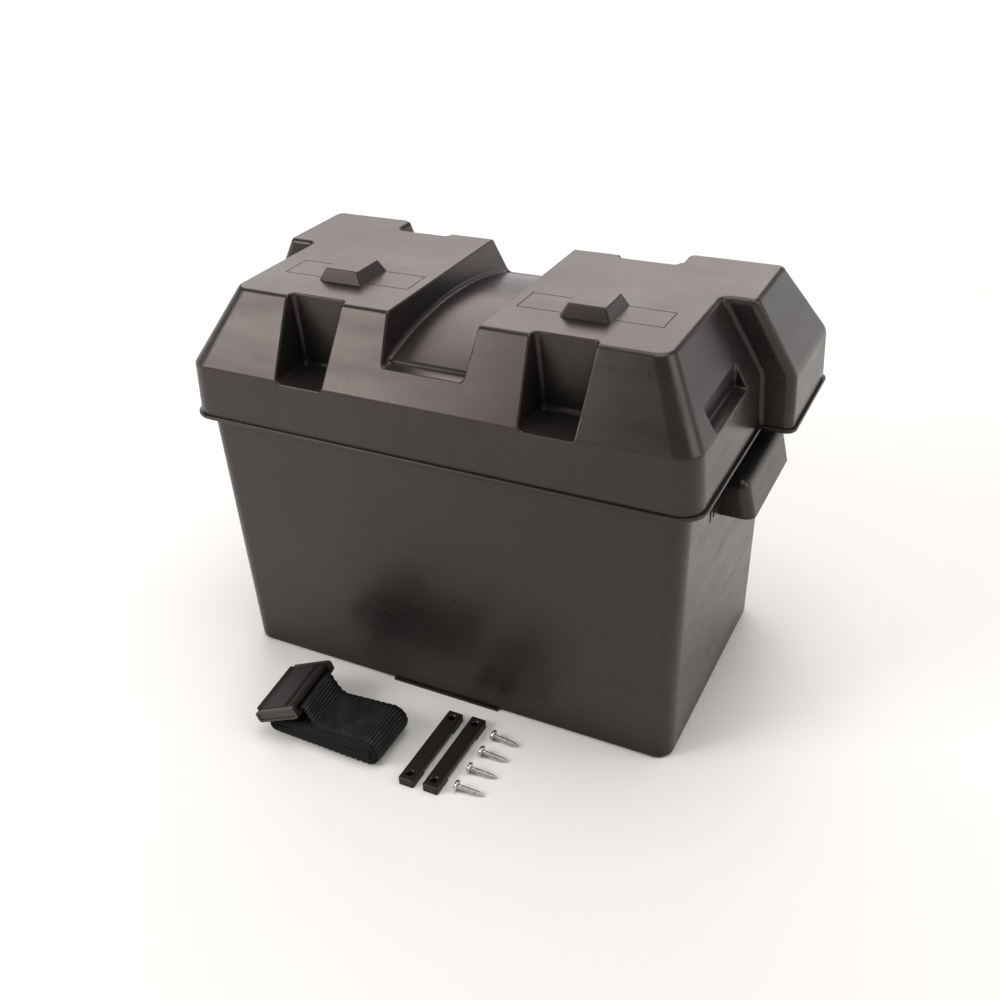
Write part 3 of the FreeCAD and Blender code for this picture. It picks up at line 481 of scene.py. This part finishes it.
def strap_builder(path):
    """Ribbed webbing along the path: a closed band with cross ribs and thin, scalloped edges."""
    bm = bmesh.new()
    uv = bm.loops.layers.uv.new("webbing")
    across = [2 * i / ACROSS_STEPS - 1 for i in range(ACROSS_STEPS + 1)]
    underside = -(STRAP_THICK / 2 - RIB_HIGH / 4)
    rings = []
    for k, (point, at) in enumerate(path):
        before, after = path[max(k - 1, 0)][0], path[min(k + 1, len(path) - 1)][0]
        yaw = BUCKLE_YAW * max(0.0, 1 - at / YAW_FADE)
        wide = Vector((-math.sin(yaw), math.cos(yaw), 0))
        up = (after - before).normalized().cross(wide).normalized()
        outermost = min(1.0, max(0.0, 1 - (at - OUTER_TURN_LONG) / OUTER_FADE))
        rib = abs(math.sin(math.pi * at / RIB_PITCH))
        rib_high = RIB_HIGH + (OUTER_RIB_HIGH - RIB_HIGH) * outermost * min(1.0, at / RIB_RISE)
        top = STRAP_THICK / 2 + rib_high * (rib - 0.5)
        scallop = SCALLOP_DEEP * outermost * (1 - abs(math.sin(math.pi * at / SCALLOP_PITCH)))
        half = STRAP_WIDE / 2 - scallop - EDGE_WAVE * math.sin(at / EDGE_WAVE_LONG)
        ring = []
        for high, row in ((top, across), (underside, across[::-1])):
            for part in row:
                offset = part * half
                lift = high * (EDGE_THINNING if abs(part) == 1 else 1)
                ring.append((bm.verts.new(point + wide * offset + up * lift), (offset, at)))
        rings.append(ring)
    for ring, following in zip(rings, rings[1:]):
        for i in range(len(ring)):
            j = (i + 1) % len(ring)
            corners = (ring[i], ring[j], following[j], following[i])
            face = bm.faces.new([vert for vert, _ in corners])
            for loop, (_, place) in zip(face.loops, corners):
                loop[uv].uv = place
    for ring in (rings[0][::-1], rings[-1]):
        bm.faces.new([vert for vert, _ in ring])
    bmesh.ops.recalc_face_normals(bm, faces=bm.faces)
    return bm


def lathe(outline, sides):
    """A closed surface about Z; outline is its [(radius, height)], from radius 0 to radius 0."""
    bm = bmesh.new()
    rows = []
    for radius, height in outline:
        if radius == 0:
            rows.append([bm.verts.new((0, 0, height))] * sides)
        else:
            rows.append([bm.verts.new(ring_point(radius, i, sides, height)) for i in range(sides)])
    for low, high in zip(rows, rows[1:]):
        for i in range(sides):
            j = (i + 1) % sides
            corners = dict.fromkeys((low[i], low[j], high[j], high[i]))
            bm.faces.new(list(corners))
    bmesh.ops.recalc_face_normals(bm, faces=bm.faces)
    return bm


def thread_builder():
    """A screw's threaded shank, down to its gimlet point."""
    bm = bmesh.new()
    rows = int(SCREW_LONG / SCREW_PITCH * ROWS_PER_PITCH)
    grid = []
    for k in range(rows + 1):
        z = SCREW_LONG * k / rows
        taper = min(1.0, TIP_SIZE + max(SCREW_LONG - z, 0.0) / SCREW_POINT) ** TIP_CURVE
        grown = min(1.0, max(0.0, (z - THREAD_START) / THREAD_RUN_IN))
        row = []
        for i in range(SCREW_SIDES):
            phase = (z / SCREW_PITCH - i / SCREW_SIDES) % 1.0
            crest = max(0.0, 1 - abs(phase - 0.5) / CREST_HALF_WIDE)
            radius = (SCREW_ROOT + (SCREW_RADIUS - SCREW_ROOT) * crest * grown) * taper
            row.append(bm.verts.new(ring_point(radius, i, SCREW_SIDES, z)))
        grid.append(row)
    for low, high in zip(grid, grid[1:]):
        for i in range(SCREW_SIDES):
            j = (i + 1) % SCREW_SIDES
            bm.faces.new((low[i], low[j], high[j], high[i]))
    bm.faces.new(grid[-1])
    bm.faces.new(grid[0][::-1])
    return bm


def pan_head_builder():
    """A plain pan head, its top at -HEAD_HIGH."""
    outline = [(0, 0), (HEAD_RADIUS - HEAD_BEVEL, 0), (HEAD_RADIUS, -HEAD_BEVEL)]
    for i in range(DOME_STEPS + 1):
        angle = math.pi / 2 * i / DOME_STEPS
        radius = HEAD_RADIUS - HEAD_ROUND * (1 - math.cos(angle))
        outline.append((radius, -HEAD_WALL - (HEAD_HIGH - HEAD_WALL) * math.sin(angle) * DOME_PART))
    outline.append((0, -HEAD_HIGH))
    return lathe(outline, HEAD_SIDES)


def recess_cutter(along_x):
    """One tapered bar of the cross recess, its long way along X or along Y."""
    bm = bmesh.new()
    bmesh.ops.create_cube(bm, size=1.0)
    for v in bm.verts:
        reach, wide, height = RECESS_MOUTH if v.co.z < 0 else RECESS_FLOOR
        x, y = (reach, wide) if along_x else (wide, reach)
        v.co = Vector((math.copysign(x, v.co.x), math.copysign(y, v.co.y), height))
    return bm


def carved(name, bm, cutters):
    """A new mesh: the bmesh with each cutter taken out of it. The bmeshes are freed."""
    item = loose_object(name, bm)
    tools = [loose_object(f"{name}_cutter", cutter) for cutter in cutters]
    for tool in tools:
        modifier = item.modifiers.new("carve", "BOOLEAN")
        modifier.operation = "DIFFERENCE"
        modifier.solver = "EXACT"
        modifier.object = tool
    seen = item.evaluated_get(bpy.context.evaluated_depsgraph_get())
    mesh = bpy.data.meshes.new_from_object(seen)
    for thing in (item, *tools):
        bpy.data.objects.remove(thing)
    return mesh


def sharpen(piece, degrees):
    """Keeps the edges that turn by more than the angle crisp under smooth shading."""
    bm = bmesh.new()
    bm.from_mesh(piece.data)
    limit = math.radians(degrees)
    for edge in bm.edges:
        edge.smooth = not (len(edge.link_faces) == 2 and edge.calc_face_angle(0.0) > limit)
    bm.to_mesh(piece.data)
    bm.free()


def make_screws(material):
    """The four screws, lying on the floor on the rim of the head and the shank's end."""
    head = carved("screw_head", pan_head_builder(), [recess_cutter(True), recess_cutter(False)])
    lean = math.atan((HEAD_RADIUS - SCREW_RADIUS) / (SCREW_LONG - SCREW_POINT))
    for index, (place, angle) in enumerate(SCREW_HEADS, start=1):
        bm = thread_builder()
        bm.from_mesh(head)
        lying = (
            Matrix.Translation(place + Vector((0, 0, HEAD_RADIUS * math.cos(lean))))
            @ Matrix.Rotation(math.radians(angle), 4, "Z")
            @ Matrix.Rotation(math.pi / 2 + lean, 4, "Y")
            @ Matrix.Rotation(math.radians(SCREW_SPIN * index), 4, "Z")
        )
        bm.transform(lying)
        node = f"bracket_screw_{index}"
        piece = new_piece(f"{node}_threaded", bm, material, node, [node])
        sharpen(piece, SCREW_CREASE)
    bpy.data.meshes.remove(head)


# ------------------------------------------------------------------------------------------ the studio
def make_floor():
    """A round floor, its rings closer together near the middle."""
    bm = bmesh.new()
    middle = bm.verts.new((0, 0, 0))
    previous = None
    for k in range(1, FLOOR_RINGS + 1):
        radius = FLOOR_RADIUS * (k / FLOOR_RINGS) ** 2
        row = [bm.verts.new(ring_point(radius, i, FLOOR_SIDES)) for i in range(FLOOR_SIDES)]
        for i in range(FLOOR_SIDES):
            j = (i + 1) % FLOOR_SIDES
            if previous is None:
                bm.faces.new((middle, row[i], row[j]))
            else:
                bm.faces.new((previous[i], row[i], row[j], previous[j]))
        previous = row
    floor = loose_object("studio_floor", bm)
    dress(floor, studio_white())


def make_sky():
    """A white world, brightest at the horizon and dimmer above it."""
    world = bpy.data.worlds.new("studio")
    bpy.context.scene.world = world
    world.use_nodes = True
    sky, link = world.node_tree.nodes, world.node_tree.links.new
    height = sky.new("ShaderNodeSeparateXYZ")
    fade = sky.new("ShaderNodeMapRange")
    fade.interpolation_type = "SMOOTHSTEP"
    for name, value in SKY_FADE.items():
        fade.inputs[name].default_value = value
    link(sky.new("ShaderNodeTexCoord").outputs["Generated"], height.inputs[0])
    link(height.outputs["Z"], fade.inputs["Value"])
    link(fade.outputs["Result"], sky["Background"].inputs["Strength"])
    sky["Background"].inputs["Color"].default_value = (1.0, 1.0, 1.0, 1)


def add_light(name, place, target, size, power, colour):
    """A rectangular light that the camera doesn't see."""
    data = bpy.data.lights.new(name, "AREA")
    data.shape = "RECTANGLE"
    data.size, data.size_y = size
    data.energy = power
    data.color = colour
    lamp = bpy.data.objects.new(name, data)
    bpy.context.scene.collection.objects.link(lamp)
    lamp.location = place
    lamp.rotation_euler = (Vector(target) - Vector(place)).to_track_quat("-Z", "Y").to_euler()
    lamp.visible_camera = False


def make_camera():
    """The photograph's camera, from its angles, distance and lens."""
    azimuth, elevation, roll = (math.radians(a) for a in (VIEW_AZIMUTH, VIEW_ELEVATION, VIEW_ROLL))
    flat = math.cos(elevation)
    back = Vector((math.sin(azimuth) * flat, -math.cos(azimuth) * flat, math.sin(elevation)))
    right = (-back).cross(Vector((0, 0, 1))).normalized()
    up = right.cross(-back)
    rolled_right = math.cos(roll) * right + math.sin(roll) * up
    rolled_up = math.cos(roll) * up - math.sin(roll) * right
    data = bpy.data.cameras.new("camera")
    data.sensor_width = VIEW_SENSOR
    data.lens = VIEW_LENS
    data.clip_start = VIEW_CLIP
    camera = bpy.data.objects.new("camera", data)
    bpy.context.scene.collection.objects.link(camera)
    turn = Matrix((rolled_right, rolled_up, back)).transposed().to_4x4()
    camera.matrix_world = Matrix.Translation(VIEW_TARGET + back * VIEW_DISTANCE) @ turn
    bpy.context.scene.camera = camera


# --------------------------------------------------------------------------------------------- making
make_camera()
make_floor()
make_sky()
for name, light in LIGHTS.items():
    add_light(name, *light)

plastics = {name: moulded_plastic(name, *look) for name, look in PLASTICS.items()}
for name, plastic in NODE_PLASTICS.items():
    dress(nodes[name], plastics[plastic])
steel = plated_steel()
dress(nodes["buckle_pin"], steel)

path, strap_long = resampled(strap_path(), RIB_PITCH / RINGS_PER_RIB)
strap = new_piece(
    "strap_ribbed_webbing", strap_builder(path), webbing(), "strap", ["strap_webbing"]
)
make_screws(steel)

bpy.context.scene.view_settings.view_transform = "Standard"
